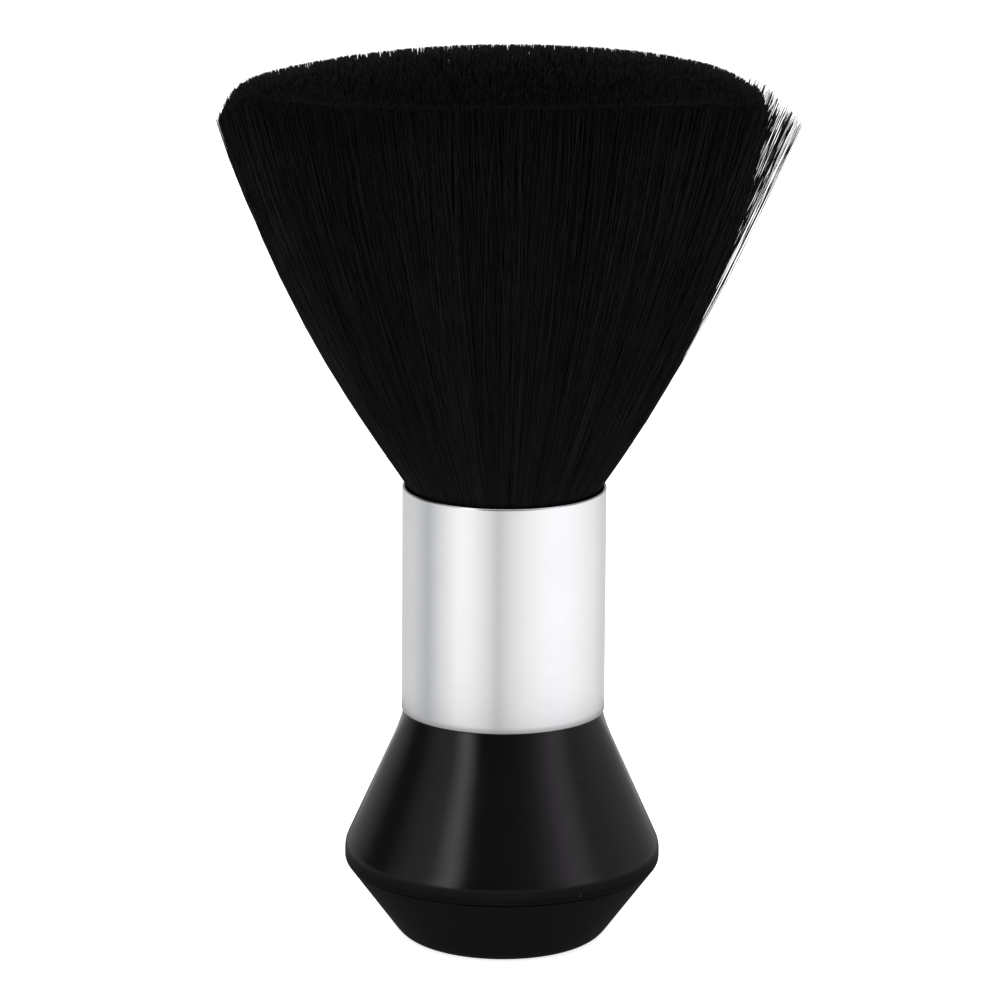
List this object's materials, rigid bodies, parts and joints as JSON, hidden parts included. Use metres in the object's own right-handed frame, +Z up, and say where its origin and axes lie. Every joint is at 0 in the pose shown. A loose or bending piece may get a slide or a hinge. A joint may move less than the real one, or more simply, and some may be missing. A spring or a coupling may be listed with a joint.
{
  "type": "neck duster brush",
  "caption": "Neck duster brush: an oval fan of soft black hair in a plain aluminium tube, on a double-cone black base that stands by itself.",
  "frame": {"origin": "middle of the foot, on the surface that the brush stands on", "axes": "+Z up from the foot to the hair's tips, +X along the wide side of the oval fan of hair, +Y through its narrow side, away from the front"},
  "size_m": [0.0954, 0.0604, 0.1466],
  "materials": {
    "black_plastic": "satin moulded",
    "aluminium": "satin",
    "resin": "cast, translucent amber",
    "core_plastic": "moulded, natural",
    "thread": "waxed cord",
    "black_hair": "fine soft fibre, slight sheen"
  },
  "bodies": {
    "handle": {"base_lower_shell": "black_plastic", "base_upper_shell": "black_plastic", "ferrule": "aluminium", "resin_plug": "resin", "spreader_core": "core_plastic", "binding_cord": "thread", "bristle_root": "black_hair"},
    "bristles": {"bristle_tuft": "black_hair"}
  },
  "joints": [
    {"name": "bristle_flex", "type": "hinge", "parent": "handle", "child": "bristles", "pos_m": [0, 0, 0.078], "axis": [1, 0, 0], "range_deg": [-25, 25], "stiffness_Nm_per_rad": 0.08}
  ]
}
